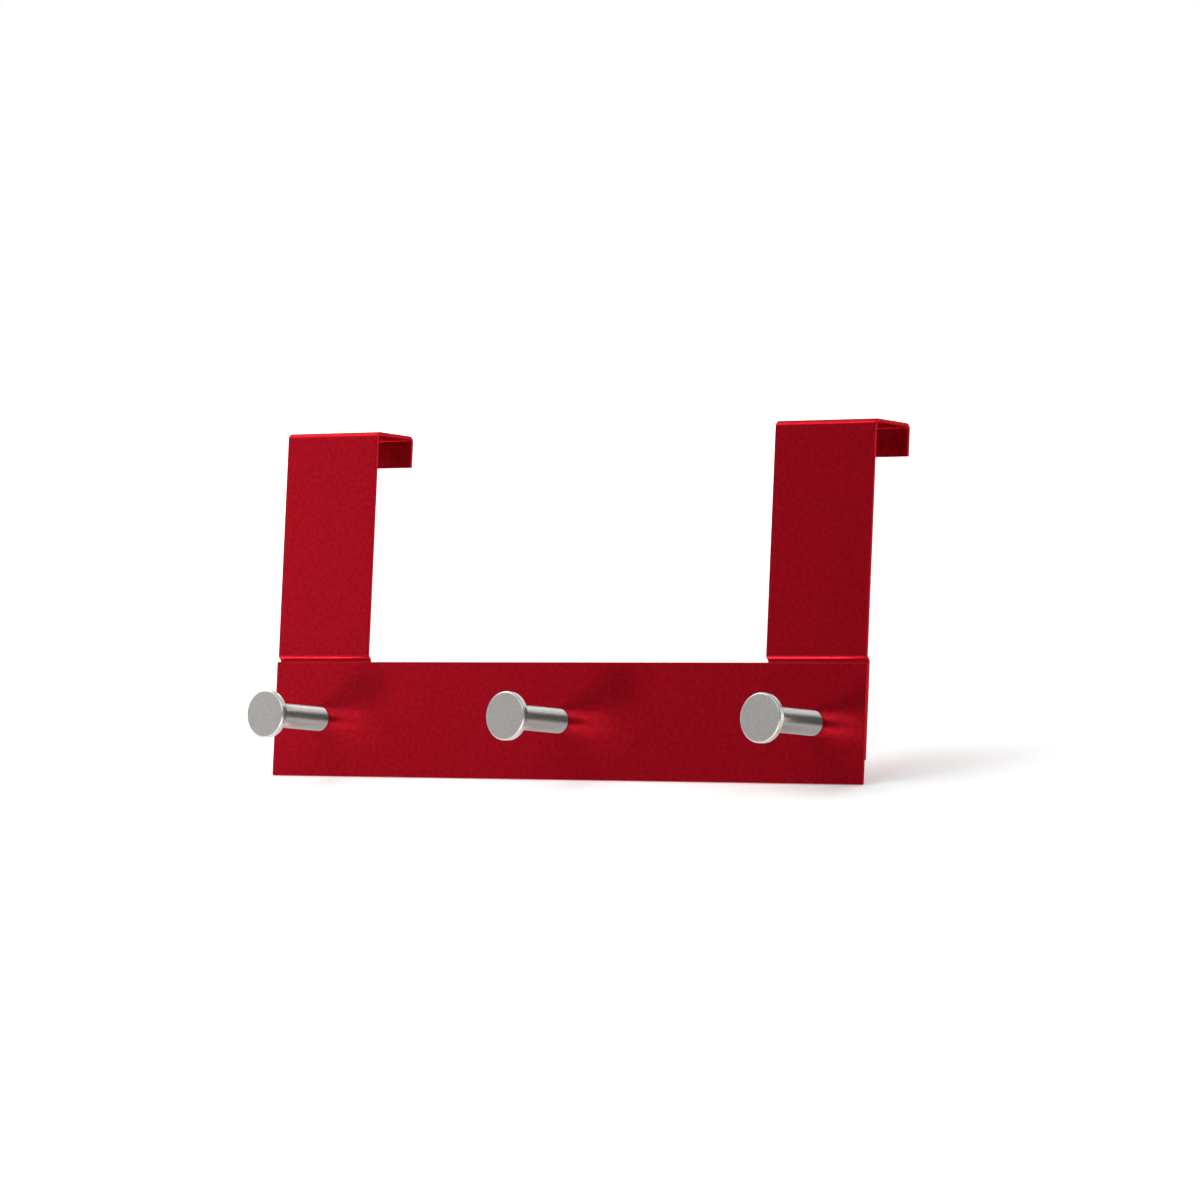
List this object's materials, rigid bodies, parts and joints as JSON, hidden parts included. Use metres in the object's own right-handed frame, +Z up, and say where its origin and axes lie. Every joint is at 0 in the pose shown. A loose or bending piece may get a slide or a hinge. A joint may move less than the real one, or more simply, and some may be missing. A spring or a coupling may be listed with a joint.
{
  "type": "over-door hook rack",
  "caption": "Over-door coat rack: flat face plate hung from folded sheet straps that hook over a door's top edge, with round-headed coat pegs screwed on from behind.",
  "frame": {"origin": "mid-width, in the inner corner of the hooks: on the plane of the straps' back faces and of the undersides of their top flanges", "axes": "+X to the right seen from the front, along the plate; +Y back over the door; +Z up"},
  "size_m": [0.3, 0.058, 0.1417],
  "materials": {
    "red_paint": "semi-gloss red powder coat on sheet steel",
    "satin_steel": "satin turned stainless steel",
    "zinc_steel": "bright zinc-plated steel"
  },
  "bodies": {
    "root": {"face_plate": "red_paint", "strap_left": "red_paint", "strap_right": "red_paint", "peg_left": "satin_steel", "peg_middle": "satin_steel", "peg_right": "satin_steel", "peg_screws": "zinc_steel"}
  },
  "joints": []
}
